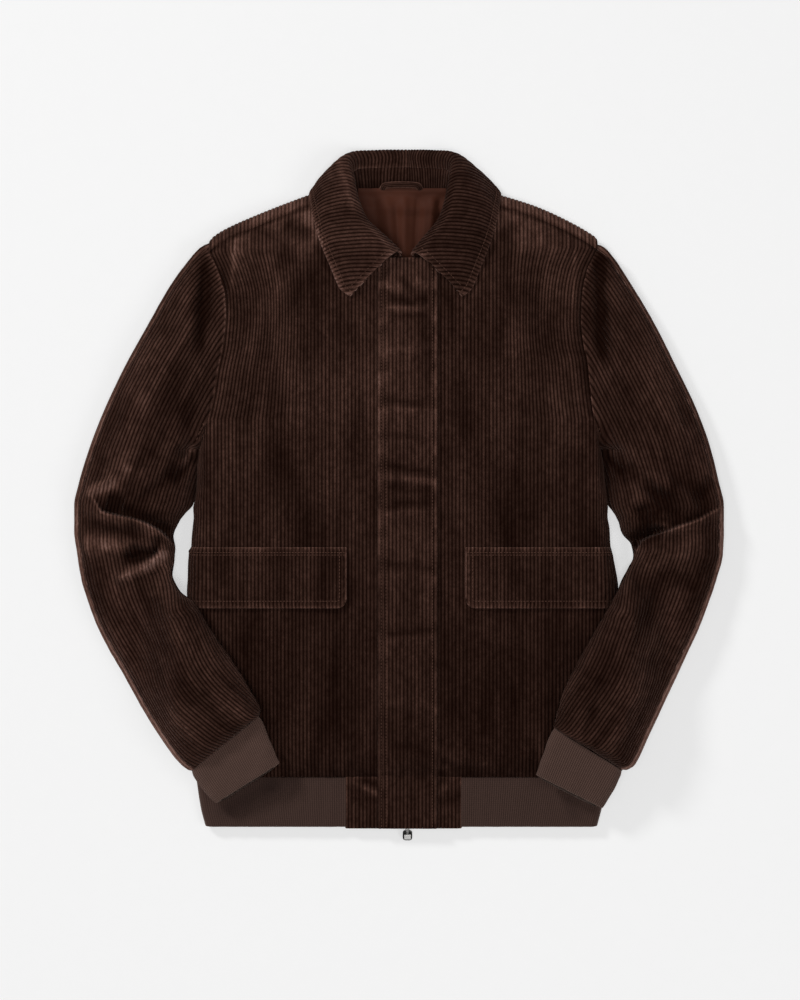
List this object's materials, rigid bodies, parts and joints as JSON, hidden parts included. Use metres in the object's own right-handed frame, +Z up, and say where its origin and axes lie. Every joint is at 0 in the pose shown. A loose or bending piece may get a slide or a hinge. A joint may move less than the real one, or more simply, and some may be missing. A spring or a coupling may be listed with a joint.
{
  "type": "corduroy jacket",
  "caption": "Corduroy jacket with a turned-down collar, covered zip front, flap pockets, knit hem and knit cuffs, closed and laid flat with its forearms folded over the body.",
  "frame": {"origin": "on the flat underside of the back, at the centre front's line, level with the chest", "axes": "+Y up the jacket towards the collar, +Z up from the table through the front, +X towards the wearer's left"},
  "size_m": [0.6846, 0.7294, 0.0655],
  "materials": {
    "corduroy": "ribbed cotton pile, dark brown",
    "knit": "rib knit, greyish brown",
    "lining": "smooth twill, reddish brown",
    "tape": "woven zip tape, dark brown",
    "metal": "dark polished zip metal"
  },
  "bodies": {
    "jacket": {"back": "corduroy", "front_right": "corduroy", "front_left": "corduroy", "sleeve_top_right": "corduroy", "sleeve_top_left": "corduroy", "sleeve_under_right": "corduroy", "sleeve_under_left": "corduroy", "collar": "corduroy", "collar_stand": "corduroy", "placket": "corduroy", "flap_right": "corduroy", "flap_left": "corduroy", "hem_tab_right": "corduroy", "hem_tab_left": "corduroy", "hanger_loop": "corduroy", "hem_rib": "knit", "cuff_right": "knit", "cuff_left": "knit", "back_lining": "lining", "zip_tape": "tape", "zip_chain": "metal", "zip_slider": "metal"},
    "pull_tab": {"zip_pull": "metal"}
  },
  "joints": [
    {"name": "pull_tab_hinge", "type": "hinge", "parent": "jacket", "child": "pull_tab", "pos_m": [0, -0.3534, 0.0082], "axis": [-1, 0, 0], "range_deg": [0, 120]}
  ]
}
